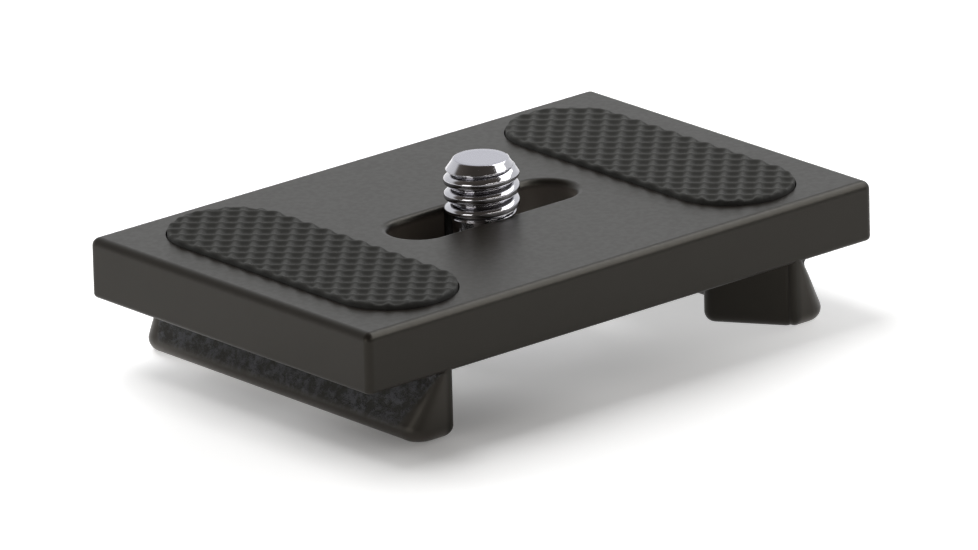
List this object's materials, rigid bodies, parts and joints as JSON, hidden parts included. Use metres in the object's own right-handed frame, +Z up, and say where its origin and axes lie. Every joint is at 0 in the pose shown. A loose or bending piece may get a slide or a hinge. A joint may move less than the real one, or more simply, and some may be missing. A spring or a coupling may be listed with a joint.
{
  "type": "tripod quick release plate",
  "caption": "Rectangular quick release plate on two dovetail rails, with rubber pads and a camera screw that slides along a slot and is turned by a folding ring.",
  "frame": {"origin": "on the floor under the middle of the plate, at the feet of the two rails", "axes": "+X along the plate's long side and the screw's slot, +Z up along the camera screw"},
  "size_m": [0.055, 0.035, 0.0153],
  "materials": {
    "black_paint": "satin",
    "pad_rubber": "matt",
    "washer_steel": "satin",
    "bright_plating": "bright",
    "ring_wire": "polished"
  },
  "bodies": {
    "plate_body": {"plate": "black_paint", "grip_pad_left": "pad_rubber", "grip_pad_right": "pad_rubber"},
    "washer_body": {"slide_washer": "washer_steel"},
    "screw_body": {"camera_screw": "bright_plating"},
    "ring_body": {"d_ring": "ring_wire"}
  },
  "joints": [
    {"name": "screw_slide", "type": "slide", "parent": "plate_body", "child": "washer_body", "axis": [1, 0, 0], "range_m": [-0.0068, 0.0068]},
    {"name": "screw_turn", "type": "hinge", "parent": "washer_body", "child": "screw_body", "pos_m": [0, 0, 0.0072], "axis": [0, 0, 1], "continuous": true},
    {"name": "ring_fold", "type": "hinge", "parent": "screw_body", "child": "ring_body", "pos_m": [0, 0, 0.00325], "axis": [1, 0, 0], "range_deg": [0, 180]}
  ]
}
